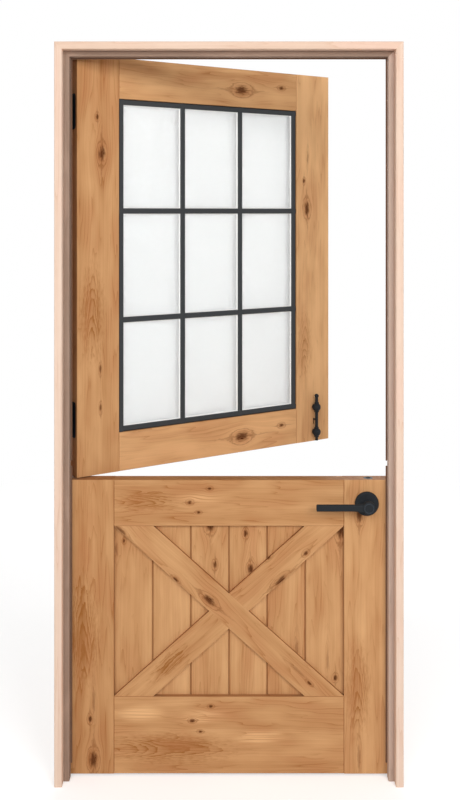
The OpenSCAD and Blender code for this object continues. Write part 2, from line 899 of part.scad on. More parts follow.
// X brace: one long diagonal, and a second one in two lengths that butt against it.
// side is -1 at the front, 1 at the back
module brace_slab(side, s, room) {
    y_in = mid_y + side * board_t / 2;
    y_out = y_in + side * (brace_t + (room > 0 ? cut : 0));
    x_end = panel_x1 * s;
    run = (brace_run + room) * s;
    slab([
        [-x_end - room * s, panel_z1], [-x_end + run, panel_z1],
        [x_end + room * s, panel_z0], [x_end - run, panel_z0]
    ], min(y_in, y_out), max(y_in, y_out));
}
module long_brace(side) {
    color(leaf_wood)
        brace_slab(side, 1, 0);
}
module short_brace(side, is_upper) {
    color(leaf_wood)
        intersection() {
            difference() {
                brace_slab(side, -1, 0);
                brace_slab(side, 1, brace_gap);
            }
            block(is_upper ? 0 : panel_x0, is_upper ? panel_x1 : 0, face_y, back_y, panel_z0, panel_z1);
        }
}
module front_long_brace() long_brace(-1);
module front_upper_brace() short_brace(-1, true);
module front_lower_brace() short_brace(-1, false);
module rear_long_brace() long_brace(1);
module rear_upper_brace() short_brace(1, true);
module rear_lower_brace() short_brace(1, false);

module hinge_3_door_leaf() hinge_door_leaf(2);
module hinge_4_door_leaf() hinge_door_leaf(3);

module lower_leaf_screws() {
    color(iron_black) {
        for (n = [2, 3])
            hinge_screws(1, -leaf_x, hinge_z[n], 0);
        face_plate_screws(0);
    }
}

// Flanged cup in the lower leaf's top edge that takes the drop bolt
module bolt_strike_cup() {
    color(iron_black)
        difference() {
            union() {
                bar_z(bolt_x, mid_y, lower_z1 - cup_depth, lower_z1, cup_r);
                bar_z(bolt_x, mid_y, lower_z1 - cup_flange_t, lower_z1, cup_flange_r);
            }
            bar_z(bolt_x, mid_y, lower_z1 - cup_depth + cup_floor, lower_z1 + cut, cup_bore_r);
        }
}

// Latch and levers

module face_plate_blank(x0, x1, room) {
    block(x0, x1, mid_y - face_plate_w / 2 - room, mid_y + face_plate_w / 2 + room,
        lever_z - face_plate_h / 2 - room, lever_z + face_plate_h / 2 + room);
}
module face_plate_screws(room) {
    for (s = [-1, 1])
        screw_form(-1, leaf_x, mid_y, lever_z + s * face_screw_dz, room);
}

module latch_faceplate() {
    hole_w = latch_w / 2 + latch_clear;
    hole_h = latch_h / 2 + latch_clear;
    color(iron_black)
        difference() {
            face_plate_blank(face_plate_x, leaf_x, 0);
            block(face_plate_x - cut, leaf_x + cut, mid_y - hole_w, mid_y + hole_w,
                lever_z - hole_h, lever_z + hole_h);
            face_plate_screws(screw_clear);
        }
}

// Tube that holds the latch bolt, with a cross hole for the spindle
module latch_case() {
    color(steel_grey)
        difference() {
            bar_x(case_x0, face_plate_x, mid_y, lever_z, latch_case_r);
            bar_x(lever_x, face_plate_x + cut, mid_y, lever_z, case_bore_r);
            bar_y(lever_x, face_y, back_y, lever_z, spindle_hole_r);
        }
}

// Sprung bolt: a round tail in the case and a bevelled head that meets the strike
module latch_bolt() {
    color(steel_grey) {
        bar_x(latch_tail_x, latch_shoulder_x, mid_y, lever_z, latch_tail_r);
        translate([0, 0, lever_z - latch_h / 2])
            linear_extrude(latch_h)
                polygon([
                    [latch_shoulder_x - cut, mid_y - latch_w / 2],
                    [latch_bevel_x, mid_y - latch_w / 2],
                    [latch_tip_x, mid_y + latch_w / 2 - latch_tip_flat],
                    [latch_tip_x, mid_y + latch_w / 2],
                    [latch_shoulder_x - cut, mid_y + latch_w / 2]
                ]);
    }
}

// Points the lever and rose from the leaf: side is -1 at the front, 1 at the back
module from_leaf(side) {
    translate([lever_x, side < 0 ? face_y : back_y, lever_z])
        rotate([side < 0 ? 90 : -90, 0, 0])
            children();
}

module rose(side) {
    rim = corner(rose_r - rose_round, rose_t - rose_round, rose_round, 0);
    color(iron_black)
        from_leaf(side)
            rotate_extrude()
                polygon(concat(
                    [[neck_r + neck_clear, 0], [rose_r, 0]],
                    rim,
                    [[neck_r + neck_clear, rose_t]]));
}
module front_rose() rose(-1);
module rear_rose() rose(1);

// Half height of the arm at a distance from the spindle: flares towards the boss
function flare_share(x) = max(0, 1 - (x - boss_r / 2) / (arm_flare + boss_r / 2));
function arm_half(x) = lever_h / 2 + arm_flare_h * pow(flare_share(x), 2);

// Right half of a rounded rectangle, from its bottom middle to its top middle
function half_round(half_w, half_h, r) = concat(
    corner(half_w - r, -half_h + r, r, -90),
    corner(half_w - r, half_h - r, r, 0));
function flipped(points) = [for (i = [len(points) - 1 : -1 : 0]) [-points[i][0], points[i][1]]];

// Straight arm with a rounded section, its tip rounded in plan and from the side
module lever_arm() {
    side = half_round(lever_h / 2, lever_t / 2, arm_round);
    plan_end = half_round(lever_len, lever_h / 2, tip_round);
    edge_end = half_round(lever_len, lever_t / 2, tip_round);
    translate([0, 0, lever_stand])
        intersection() {
            translate([-lever_len, 0, 0])
                rotate([90, 0, 90])
                    linear_extrude(lever_len)
                        polygon(concat(side, flipped(side)));
            translate([0, 0, -lever_t])
                linear_extrude(2 * lever_t)
                    polygon(concat([[0, lever_h / 2]], flipped(plan_end), [[0, -lever_h / 2]]));
            translate([0, lever_h, 0])
                rotate([90, 0, 0])
                    linear_extrude(2 * lever_h)
                        polygon(concat([[0, lever_t / 2]], flipped(edge_end), [[0, -lever_t / 2]]));
        }
}

// Web between the boss and the arm
module lever_flare() {
    flare_x = boss_r + arm_flare;
    xs = [for (i = [0 : round_steps]) flare_x * i / round_steps];
    top = [for (i = [round_steps : -1 : 0]) [-xs[i], arm_half(xs[i])]];
    low = [for (i = [0 : round_steps]) [-xs[i], -arm_half(xs[i])]];
    translate([0, 0, lever_stand - arm_flare_t / 2])
        linear_extrude(arm_flare_t)
            polygon(concat(top, low));
}

// Round boss with a ring cut into its front
module lever_boss() {
    z0 = lever_stand - boss_t / 2;
    z1 = lever_stand + boss_t / 2;
    difference() {
        rotate_extrude()
            polygon(concat(
                [[0, z0]],
                corner(boss_r - boss_round, z0 + boss_round, boss_round, -90),
                corner(boss_r - boss_round, z1 - boss_round, boss_round, 0),
                [[0, z1]]));
        translate([0, 0, z1 - ring_d])
            difference() {
                cylinder(h = ring_d + cut, r = ring_r);
                translate([0, 0, -cut])
                    cylinder(h = ring_d + 3 * cut, r = ring_r - ring_w);
            }
    }
}

// Lever of one side: neck, boss, web and arm, with a square socket for the spindle
module lever(side) {
    socket_w = spindle_w + 2 * seat;
    color(iron_black)
        from_leaf(side)
            difference() {
                union() {
                    cylinder(h = lever_stand, r = neck_r);
                    lever_arm();
                    lever_flare();
                    lever_boss();
                }
                translate([-socket_w / 2, -socket_w / 2, -cut])
                    cube([socket_w, socket_w, socket_d + cut]);
            }
}
module front_lever() lever(-1);
module rear_lever() lever(1);

module spindle() {
    color(steel_grey)
        block(lever_x - spindle_w / 2, lever_x + spindle_w / 2,
            face_y - socket_d, back_y + socket_d,
            lever_z - spindle_w / 2, lever_z + spindle_w / 2);
}

hinge_jamb();
strike_jamb();
head_jamb();
hinge_side_stop();
strike_side_stop();
head_stop();
hinge_side_seal();
strike_side_seal();
head_seal();
strike_plate();
hinge_1_frame_leaf();
hinge_2_frame_leaf();
hinge_3_frame_leaf();
hinge_4_frame_leaf();
hinge_pins();
frame_screws();
upper_hinge_stile();
upper_lock_stile();
upper_top_rail();
upper_bottom_rail();
glass_pane();
rear_glass_pane();
glazing_spacer();
front_grille();
rear_grille();
hinge_1_door_leaf();
hinge_2_door_leaf();
upper_leaf_screws();
bolt_upper_guide();
bolt_lower_guide();
bolt_rod();
drop_bolt();
lower_hinge_stile();
lower_lock_stile();
lower_top_rail();
lower_bottom_rail();
board_1();
board_2();
board_3();
board_4();
board_5();
board_6();
front_long_brace();
front_upper_brace();
front_lower_brace();
rear_long_brace();
rear_upper_brace();
rear_lower_brace();
hinge_3_door_leaf();
hinge_4_door_leaf();
lower_leaf_screws();
bolt_strike_cup();
latch_case();
latch_faceplate();
front_rose();
rear_rose();
front_lever();
rear_lever();
spindle();
latch_bolt();
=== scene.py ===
import json
from functools import partial
from math import cos, radians, sin

import bmesh
import bpy
import numpy as np
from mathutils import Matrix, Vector


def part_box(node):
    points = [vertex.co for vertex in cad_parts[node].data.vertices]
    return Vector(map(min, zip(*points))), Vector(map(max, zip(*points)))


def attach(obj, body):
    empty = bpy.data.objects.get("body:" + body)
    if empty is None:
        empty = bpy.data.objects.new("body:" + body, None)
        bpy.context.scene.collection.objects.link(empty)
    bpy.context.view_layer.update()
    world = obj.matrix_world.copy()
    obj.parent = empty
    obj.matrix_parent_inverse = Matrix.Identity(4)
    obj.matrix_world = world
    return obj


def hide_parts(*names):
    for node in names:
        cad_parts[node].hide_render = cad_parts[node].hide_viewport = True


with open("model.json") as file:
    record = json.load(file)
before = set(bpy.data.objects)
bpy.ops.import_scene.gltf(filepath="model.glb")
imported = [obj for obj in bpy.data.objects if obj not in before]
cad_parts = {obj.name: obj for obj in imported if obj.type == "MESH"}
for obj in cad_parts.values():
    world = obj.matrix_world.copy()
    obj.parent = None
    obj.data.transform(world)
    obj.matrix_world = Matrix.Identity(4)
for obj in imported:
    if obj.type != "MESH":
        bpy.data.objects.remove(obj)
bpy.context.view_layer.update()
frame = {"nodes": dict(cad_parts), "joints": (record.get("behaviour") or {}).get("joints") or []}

# Viewpoint: a level camera at eye height in front of the door, with the lens shifted down,
# so that the jambs stay upright and parallel as in the photograph.
IMAGE_H = 800
FOCAL_PX = 1035
HORIZON_PX = 212
EYE = (0.003, -2.9, 1.5835)

lens = bpy.data.cameras.new("photo_lens")
lens.lens = FOCAL_PX / IMAGE_H * lens.sensor_width
lens.shift_y = -(IMAGE_H / 2 - HORIZON_PX) / IMAGE_H
camera = bpy.data.objects.new("photo_camera", lens)
camera.location = EYE
camera.rotation_euler = (radians(90), 0, 0)
bpy.context.scene.collection.objects.link(camera)
bpy.context.scene.camera = camera
bpy.context.scene.view_settings.view_transform = "Standard"


# Studio: a pale paper floor that runs out of sight, a white surround, two soft boxes in front
# and a large one behind, which lights the rear faces and comes through the etched glass.
# To the camera the floor is lifted, keeps the door's shadow, and turns plain white further off.
def linear(code):
    """Linear colour of an sRGB hex value: each channel follows the sRGB curve."""
    channels = [int(code[i : i + 2], 16) / 255 for i in (1, 3, 5)]
    return [c / 12.92 if c <= 0.04045 else ((c + 0.055) / 1.055) ** 2.4 for c in channels] + [1.0]


def node(tree, kind, inputs, output=0, **settings):
    """Adds a node with its settings, links or sets its inputs, and gives the output asked for."""
    made = tree.nodes.new("ShaderNode" + kind)
    for key, value in settings.items():
        setattr(made, key, value)
    for key, value in inputs.items():
        if isinstance(value, bpy.types.NodeSocket):
            tree.links.new(value, made.inputs[key])
        else:
            made.inputs[key].default_value = value
    return made.outputs[output] if made.outputs else made


def new_material(name):
    """An empty node-based material and its tree."""
    material = bpy.data.materials.new(name)
    material.use_nodes = True
    material.node_tree.nodes.clear()
    return material, material.node_tree


def seen_white(tree):
    """One for rays from the camera, off a glossy surface or through glass, and zero for the rest."""
    rays = node(tree, "LightPath", {}).node.outputs
    seen = node(tree, "Math", {0: rays["Is Camera Ray"], 1: rays["Is Glossy Ray"]}, operation="MAXIMUM")
    return node(tree, "Math", {0: seen, 1: rays["Is Transmission Ray"]}, operation="MAXIMUM")


# Metres from the middle: half the floor, and where it starts and ends to turn plain white
FLOOR_HALF = 60.0
WHITE_FROM, WHITE_TO = 1.2, 3.4
# Strengths: what the camera sees on top of the lit paper, and the surround's light on the door
PAPER_LIFT = 0.42
FILL_LEVEL = 0.34
SMOOTH = {"interpolation_type": "SMOOTHSTEP"}

floor_mesh = bpy.data.meshes.new("studio_floor")
corners = np.array([[-1, -1, 0], [1, -1, 0], [1, 1, 0], [-1, 1, 0]]) * FLOOR_HALF
floor_mesh.from_pydata(corners.tolist(), [], [[0, 1, 2, 3]])
floor = bpy.data.objects.new("studio_floor", floor_mesh)
bpy.context.scene.collection.objects.link(floor)

# Studio paper: matt and pale, so it takes a soft shadow; the lift brings it near white to the camera
paper, tree = new_material("studio_paper")
place = node(tree, "TexCoord", {}, "Object")
away = node(tree, "VectorMath", {0: place}, "Value", operation="LENGTH")
seen = seen_white(tree)
far_off = node(tree, "MapRange", {"Value": away, "From Min": WHITE_FROM, "From Max": WHITE_TO}, **SMOOTH)
far_off = node(tree, "Math", {0: seen, 1: far_off}, operation="MULTIPLY")
lift = node(tree, "Math", {0: seen, 1: PAPER_LIFT}, operation="MULTIPLY")
matt = node(tree, "BsdfDiffuse", {"Color": linear("#F2F2F2")})
glow = node(tree, "Emission", {"Color": linear("#FFFFFF"), "Strength": lift})
near = node(tree, "AddShader", {0: matt, 1: glow})
white = node(tree, "Emission", {"Color": linear("#FFFFFF"), "Strength": 1.0})
both = node(tree, "MixShader", {0: far_off, 1: near, 2: white})
node(tree, "OutputMaterial", {"Surface": both})
floor_mesh.materials.append(paper)

world = bpy.data.worlds.new("white_surround")
world.use_nodes = True
bpy.context.scene.world = world
tree = world.node_tree
tree.nodes.clear()
level = node(tree, "MapRange", {"Value": seen_white(tree), "To Min": FILL_LEVEL, "To Max": 1.0})
sky = node(tree, "Background", {"Color": linear("#FFFFFF"), "Strength": level})
node(tree, "OutputWorld", {"Surface": sky})

# name, place, aimed at, width and height in metres, watts
SOFT_BOXES = [
    ("key_box", (-1.9, -5.2, 3.5), (0, 0, 1.0), 2.8, 2.6, 112),
    ("fill_box", (2.4, -5.2, 3.3), (0, 0.2, 1.0), 2.4, 2.6, 150),
    ("back_box", (0.2, 5.2, 1.9), (0, 0.2, 1.0), 4.6, 3.4, 122),
]
for name, place, aim, wide, high, watts in SOFT_BOXES:
    lamp = bpy.data.lights.new(name, "AREA")
    lamp.shape = "RECTANGLE"
    lamp.size = wide
    lamp.size_y = high
    lamp.energy = watts
    box = bpy.data.objects.new(name, lamp)
    box.location = place
    toward = Vector(aim) - Vector(place)
    box.rotation_euler = toward.to_track_quat("-Z", "Y").to_euler()
    bpy.context.scene.collection.objects.link(box)

# Jambs and head: planed softwood, left bare, so it is pale and pinkish with a faint grain.
# The three lengths are mitred at the top corners and nailed through the joint.
hinge = next(j for j in frame["joints"] if j["name"] == "upper_leaf_hinge")
REST_TURN = -radians(hinge["range_deg"][0])
PIN = np.array(hinge["pos_m"])
# A place times this swings open with the upper leaf, and this times a place swings back
SWING = np.array([[cos(REST_TURN), sin(REST_TURN)], [-sin(REST_TURN), cos(REST_TURN)]])
MM = 1000.0
TINT = {"output": 2, "data_type": "RGBA"}

# Waves of the wood in millimetres: along the grain, through the thickness and across the grain.
# A fibre stands for a bundle of pores: the pores alone are too fine to show, so it is drawn coarser.
WAVES = {"fibre": (420, 16, 3.4), "band": (1500, 70, 30), "cloud": (170, 60, 46)}
# The slow wave moves the grain across by the waver, and the fray roughens knots and arches.
SLOW_WAVE, FRAY_WAVE = (210, 60, 75), (16, 6, 4)
WAVER = 14.0
# Steps along the noises' fourth dimension, from plank to plank and from wave to wave
SLOW_STEP, PLANK_STEP, WAVE_STEP = 5.1, 3.7, 11.3
# Reach of a knot's parts in its own radius: full up to the first value, gone at the second
CORE, RIM, VEIN, VEIN_LINE = (1.1, 2.1), (1.2, 3.2), (1.0, 7.0), (0.02, 0.18)
# Reach of the pale patches and of the arched figure, in the same way
PATCH, FIGURE = (0.9, 1.9), (1.1, 2.1)


def near_mark(add, grain, turn, mark):
    """How far a place is ahead of a mark, aside from it and from its middle, in millimetres.

    A mark is its x and z on the closed leaf, its half width, and how many times longer it is
    along the grain; lengths along the grain are divided by that.
    """
    x, z, _, stretch = mark
    along = (x * cos(turn) + z * sin(turn)) / stretch
    across = z * cos(turn) - x * sin(turn) + WAVER / 2
    apart = add("VectorMath", {0: grain, 1: (1 / stretch, 0, 1), 2: (-along, 0, -across)},
                operation="MULTIPLY_ADD")
    ahead, _, aside = add("SeparateXYZ", {"Vector": apart}).node.outputs
    far = add("VectorMath", {0: apart}, "Value", operation="LENGTH")
    return ahead, aside, far


def knot(add, aside, far, fray, radius, stretch):
    """A knot's pull on the grain, and the strength of its vein, its core and its rim.

    It pushes the grain aside as a post parts a stream: the way aside is scaled by
    1 - 3.4 r^2 / (s^2 + 0.4 r^2) at the distance s, so the grain line through the knot opens
    into an eye and closes again into a thin vein. The longer a knot is drawn, the fainter it is.
    """
    parting, softening = 3.4 * radius**2, 0.4 * radius**2
    edge_fray, line_fray = 1.6 * radius, 0.7 * radius
    faint = min(1.0, 2.4 / stretch)
    core, rim, vein, line = (np.multiply(radius, reach).tolist() for reach in (CORE, RIM, VEIN, VEIN_LINE))

    spread = add("Math", {0: far, 1: far, 2: softening}, operation="MULTIPLY_ADD")
    pull = add("Math", {0: -parting, 1: spread}, operation="DIVIDE")
    own = add("Math", {0: pull, 1: aside, 2: aside}, operation="MULTIPLY_ADD")
    own = add("Math", {0: fray, 1: line_fray, 2: own}, operation="MULTIPLY_ADD")
    own = add("Math", {0: own, 1: line_fray / 2}, operation="SUBTRACT")
    own = add("Math", {0: own}, operation="ABSOLUTE")
    drawn = add("MapRange", {0: own, 1: line[0], 2: line[1], 3: faint, 4: 0}, **SMOOTH)

    frayed = add("Math", {0: fray, 1: edge_fray, 2: far}, operation="MULTIPLY_ADD")
    close = add("MapRange", {0: frayed, 1: vein[0], 2: vein[1], 3: 1, 4: 0}, **SMOOTH)
    drawn = add("Math", {0: drawn, 1: close}, operation="MULTIPLY")
    heart = add("MapRange", {0: frayed, 1: core[0], 2: core[1], 3: faint, 4: 0}, **SMOOTH)
    halo = add("MapRange", {0: frayed, 1: rim[0], 2: rim[1], 3: faint, 4: 0}, **SMOOTH)
    return pull, drawn, heart, halo


def pale_patch(add, far, slow, radius):
    """A patch of lighter sapwood, whose edge lies at the mark's distance plus the slow wave."""
    wander = 1.5 * radius
    full, gone = PATCH
    edge = add("Math", {0: slow, 1: wander, 2: far}, operation="MULTIPLY_ADD")
    return add("MapRange", {0: edge, 1: full * radius, 2: gone * radius, 3: 1, 4: 0}, **SMOOTH)


def arched_figure(add, ahead, aside, far, slow, fray, radius):
    """Nested arches of a plank sawn near the bark: way ahead plus the square of the way aside.

    Places of one sum lie on a parabola. Both noises bend it, and the sum is cut into even
    spaces, each of which darkens from a pale ground to a sharp line.
    """
    space, drift, roughness = 13.0, 90.0, 10.0
    legs, sharpness, ground = 2.5 / radius, 3.0, 0.25
    edge_fray = 1.6 * radius
    full, gone = FIGURE

    arch = add("Math", {0: aside, 1: aside}, operation="MULTIPLY")
    arch = add("Math", {0: arch, 1: legs, 2: ahead}, operation="MULTIPLY_ADD")
    arch = add("Math", {0: slow, 1: drift, 2: arch}, operation="MULTIPLY_ADD")
    arch = add("Math", {0: fray, 1: roughness, 2: arch}, operation="MULTIPLY_ADD")
    arch = add("Math", {0: arch, 1: space}, operation="DIVIDE")
    arch = add("Math", {0: arch}, operation="FRACT")
    arch = add("Math", {0: arch, 1: sharpness}, operation="POWER")
    arch = add("MapRange", {0: arch, 3: ground, 4: 1})

    frayed = add("Math", {0: fray, 1: edge_fray, 2: far}, operation="MULTIPLY_ADD")
    fade = add("MapRange", {0: frayed, 1: full * radius, 2: gone * radius, 3: 1, 4: 0}, **SMOOTH)
    return add("Math", {0: arch, 1: fade}, operation="MULTIPLY")


def growth_rings(add, look, along, flow, waves, middle):
    """Dark late wood of the rings: cones round a heart that leans away from the face.

    The ring's number is the distance from the heart over the ring's width; its fraction, raised
    to a power, leaves a thin dark line. Where the clouds are low, the lines nearly vanish.
    """
    heart_bend, side_bend = 90.0, 45.0
    sharpness = 6.0
    heart = add("Math", {0: along, 1: look["lean"], 2: look["heart"]}, operation="MULTIPLY_ADD")
    heart = add("Math", {0: waves["band"], 1: heart_bend, 2: heart}, operation="MULTIPLY_ADD")
    beside = add("Math", {0: waves["cloud"], 1: side_bend, 2: flow}, operation="MULTIPLY_ADD")
    beside = add("Math", {0: beside, 1: middle}, operation="SUBTRACT")
    radial = add("CombineXYZ", {0: beside, 1: heart})
    rings = add("VectorMath", {0: radial}, "Value", operation="LENGTH")
    rings = add("Math", {0: rings, 1: look["ring_mm"]}, operation="DIVIDE")
    year = add("Math", {0: rings}, operation="FRACT")
    late = add("Math", {0: year, 1: sharpness}, operation="POWER")
    patchy = add("MapRange", {0: waves["cloud"], 1: 0.42, 2: 0.60, 3: 0.15, 4: 1}, **SMOOTH)
    return add("Math", {0: late, 1: patchy}, operation="MULTIPLY")


def timber(name, look, turn, seed, middle, shade=0.0, knots=(), pale=(), figured=(), thick=None,
           on_upper_leaf=False):
    """Sawn timber whose grain runs at this turn from X towards Z; shade darkens the whole piece, and
    lightens it below zero: painted shade and painted light from piece to piece.

    Places are millimetres along the grain, through the thickness and across the grain, which
    wavers by a slow noise and flows round the knots. Fibres, bands and clouds are noises
    stretched along that flow. Rings and figured marks darken the tone and streaked pale marks
    lighten it; the tone then blends two colours of wood. Where thick gives the middle and half
    of the thickness, the wood darkens below the faces, in the joints and on the edges: partly
    staining soaked into them, partly painted shade in the grooves and on the top edges.
    Map Range inputs are the value, from 1 to 2, to 3 to 4; a noise runs about its middle, 0.5,
    and the seed moves it along its fourth dimension, W, so that the planks differ.
    """
    vein_strength, rim_strength, stain_and_shade_strength, pale_strength = 0.5, 0.45, 0.45, 0.55
    stain_and_shade_from, stain_and_shade_to = 1.5, 0.2
    sheen_spread, mirroring = 0.08, 0.015
    relief_strength, relief_mm = 0.2, 0.5

    material, tree = new_material(name)
    add = partial(node, tree)
    place = add("TexCoord", {}, "Object")
    if on_upper_leaf:
        shift = PIN[:2] - SWING @ PIN[:2]
        place = add("Mapping", {"Vector": place, "Location": (*shift, 0), "Rotation": (0, 0, -REST_TURN)})
    sawn = add("Mapping", {"Vector": place, "Rotation": (0, turn, 0), "Scale": (MM, MM, MM)})
    along, depth, across = add("SeparateXYZ", {"Vector": sawn}).node.outputs
    scaled = add("VectorMath", {0: sawn, 1: tuple(1 / s for s in SLOW_WAVE)}, operation="MULTIPLY")
    slow = add("TexNoise", {"Vector": scaled, "W": SLOW_STEP * seed, "Scale": 1.0}, noise_dimensions="4D")
    across = add("Math", {0: slow, 1: WAVER, 2: across}, operation="MULTIPLY_ADD")
    grain = add("CombineXYZ", {0: along, 1: depth, 2: across})
    scaled = add("VectorMath", {0: grain, 1: tuple(1 / s for s in FRAY_WAVE)}, operation="MULTIPLY")
    fray = add("TexNoise", {"Vector": scaled, "Scale": 1.0, "Detail": 3.0})

    flow, vein, core, rim, light, flame = across, 0.0, 0.0, 0.0, 0.0, 0.0
    for mark in knots:
        _, aside, far = near_mark(add, grain, turn, mark)
        pull, drawn, heart, halo = knot(add, aside, far, fray, *mark[2:])
        flow = add("Math", {0: pull, 1: aside, 2: flow}, operation="MULTIPLY_ADD")
        vein = add("Math", {0: vein, 1: drawn}, operation="MAXIMUM")
        core = add("Math", {0: core, 1: heart}, operation="MAXIMUM")
        rim = add("Math", {0: rim, 1: halo}, operation="MAXIMUM")
    for mark in pale:
        _, _, far = near_mark(add, grain, turn, mark)
        light = add("Math", {0: light, 1: pale_patch(add, far, slow, mark[2])}, operation="MAXIMUM")
    for mark in figured:
        arches = arched_figure(add, *near_mark(add, grain, turn, mark), slow, fray, mark[2])
        flame = add("Math", {0: flame, 1: arches}, operation="MAXIMUM")

    stream = add("CombineXYZ", {0: along, 1: depth, 2: flow})
    waves = {}
    for offset, (kind, size) in enumerate(WAVES.items()):
        scaled = add("VectorMath", {0: stream, 1: tuple(1 / s for s in size)}, operation="MULTIPLY")
        waves[kind] = add("TexNoise", {
            "Vector": scaled, "W": PLANK_STEP * seed + WAVE_STEP * offset, "Scale": 1.0, "Detail": 2.0,
            "Roughness": 0.5}, noise_dimensions="4D")

    late = growth_rings(add, look, along, flow, waves, middle)
    tone = add("Math", {0: late, 1: look["ring"], 2: look["tone"] + shade}, operation="MULTIPLY_ADD")
    for kind in waves:
        tone = add("Math", {0: waves[kind], 1: look[kind], 2: tone}, operation="MULTIPLY_ADD")
    if pale:
        streak = add("MapRange", {0: waves["fibre"], 1: 0.38, 2: 0.6, 3: 0.1, 4: 1}, **SMOOTH)
        light = add("Math", {0: light, 1: streak}, operation="MULTIPLY")
        tone = add("Math", {0: light, 1: -pale_strength, 2: tone}, operation="MULTIPLY_ADD")
    if figured:
        tone = add("Math", {0: flame, 1: look["figure"], 2: tone}, operation="MULTIPLY_ADD")
    tone = add("Clamp", {"Value": tone})

    colour = add("Mix", {0: tone, 6: linear(look["pale"]), 7: linear(look["deep"])}, **TINT)
    blush = add("MapRange", {0: waves["cloud"], 1: 0.45, 2: 0.75, 3: 0, 4: look["blush"]}, **SMOOTH)
    colour = add("Mix", {0: blush, 6: colour, 7: linear(look["rosy"])}, **TINT)
    if knots:
        vein = add("Math", {0: vein, 1: vein_strength}, operation="MULTIPLY")
        colour = add("Mix", {0: vein, 6: colour, 7: linear(look["vein"])}, **TINT)
        rim = add("Math", {0: rim, 1: rim_strength}, operation="MULTIPLY")
        colour = add("Mix", {0: rim, 6: colour, 7: linear(look["knot_rim"])}, **TINT)
        broken = add("MapRange", {0: waves["fibre"], 1: 0.3, 2: 0.65, 3: 1.0, 4: 0.7}, **SMOOTH)
        core = add("Math", {0: core, 1: broken}, operation="MULTIPLY")
        colour = add("Mix", {0: core, 6: colour, 7: linear(look["knot"])}, **TINT)
    # Staining and painted shade: darker below the faces, in the V joints and on the edges; the darkening
    # in the grooves, along the slats' edges and on the lit top edges is painted shade.
    if thick:
        middle_y, half = thick
        inset = add("Math", {0: depth, 1: middle_y}, operation="SUBTRACT")
        inset = add("Math", {0: inset}, operation="ABSOLUTE")
        stain_and_painted_shade = add("MapRange", {
            0: inset, 1: half - stain_and_shade_from, 2: half - stain_and_shade_to, 3: stain_and_shade_strength, 4: 0}, **SMOOTH)
        colour = add("Mix", {0: stain_and_painted_shade, 6: colour, 7: linear(look["edge"])}, **TINT)

    sheen = add("MapRange", {
        0: waves["fibre"], 3: look["rough"] - sheen_spread, 4: look["rough"] + sheen_spread})
    relief = add("Bump", {
        "Height": waves["fibre"], "Strength": relief_strength, "Distance": relief_mm / MM})
    skin = add("BsdfPrincipled", {
        "Base Color": colour, "Roughness": sheen, "Normal": relief, "Specular IOR Level": mirroring})
    add("OutputMaterial", {"Surface": skin})
    return material


def dress(name, material):
    """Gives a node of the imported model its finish."""
    frame["nodes"][name].material_slots[0].material = material


# Bare softwood: planed and unfinished, so it looks chalky and pink with barely a line in it
UPRIGHT, LEVEL = radians(90), 0.0
bare_softwood = {
    "pale": "#F8E0CF", "deep": "#E0BDA3", "rosy": "#F4D0BE", "blush": 0.5, "rough": 0.62,
    "tone": -0.33, "fibre": 0.7, "band": 0.5, "cloud": 0.4,
    "ring": 0.5, "ring_mm": 9.0, "lean": 0.03, "heart": 30.0,
}
# turn of the grain, middle of the rings across it, shade
# The head jamb's shade is painted shade, against the stronger light that the lamps throw on it from above.
jambs = {
    "hinge_jamb": (UPRIGHT, 470, 0.0),
    "strike_jamb": (UPRIGHT, -470, 0.0),
    "head_jamb": (LEVEL, 2040, 0.2),
}
for seed, (name, (turn, middle, shade)) in enumerate(jambs.items()):
    dress(name, timber(f"bare_softwood_{name}", bare_softwood, turn, seed + 1, middle, shade))

# Stops: slim softwood lengths pinned to the jambs, against which the leaves close.
# Their thin wash leaves the grain in sight and turns the wood a flat grey-brown.
# Washed wood: the wash fills the pores, so the lines are soft and the surface dull
washed_wood = dict(bare_softwood, pale="#CDB5A6", deep="#9C8373", rosy="#C2A594", rough=0.58)
# Their shades are painted shade and light: the head stop is painted darkest for the shade under the head,
# and the hinge-side stop darker than the strike-side one, which is painted lighter.
stops = {
    "hinge_side_stop": (UPRIGHT, 450, 0.45),
    "strike_side_stop": (UPRIGHT, -450, -0.6),
    "head_stop": (LEVEL, 2020, 0.9),
}
for seed, (name, (turn, middle, shade)) in enumerate(stops.items()):
    dress(name, timber(f"washed_wood_{name}", washed_wood, turn, seed + 5, middle, shade))


# Weather seals: extruded brown rubber, pressed against the back of each stop,
# in one length over the head and two lengths down each side.
def mottled(name, patch_mm, tints, roughness, skin=None, detail=2.0, relief_mm=0.0, rework=None):
    """A finish that one noise, with patches of this many millimetres, varies throughout.

    The noise blends two tints and two values of roughness, and raises a relief where one is
    given. The skin holds further inputs of the surface, and rework may change the tint.
    """
    relief_strength = 0.15
    material, tree = new_material(name)
    place = node(tree, "TexCoord", {}, "Object")
    patch = node(tree, "TexNoise", {"Vector": place, "Scale": MM / patch_mm, "Detail": detail})
    tint = node(tree, "Mix", {0: patch, 6: linear(tints[0]), 7: linear(tints[1])}, **TINT)
    if rework:
        tint = rework(tree, place, patch, tint)
    dull = node(tree, "MapRange", {"Value": patch, "To Min": roughness[0], "To Max": roughness[1]})
    inputs = {"Base Color": tint, "Roughness": dull, **(skin or {})}
    if relief_mm:
        inputs["Normal"] = node(tree, "Bump", {
            "Height": patch, "Strength": relief_strength, "Distance": relief_mm / MM})
    surface = node(tree, "BsdfPrincipled", inputs)
    node(tree, "OutputMaterial", {"Surface": surface})
    return material


# Seal rubber: it scatters nearly all light and holds dust, so it looks soft and a little blotched
rubber = mottled("seal_rubber", 12, ("#6B4C39", "#8A654C"), (0.55, 0.75), detail=3.0)
for name in ("hinge_side_seal", "strike_side_seal", "head_seal"):
    dress(name, rubber)

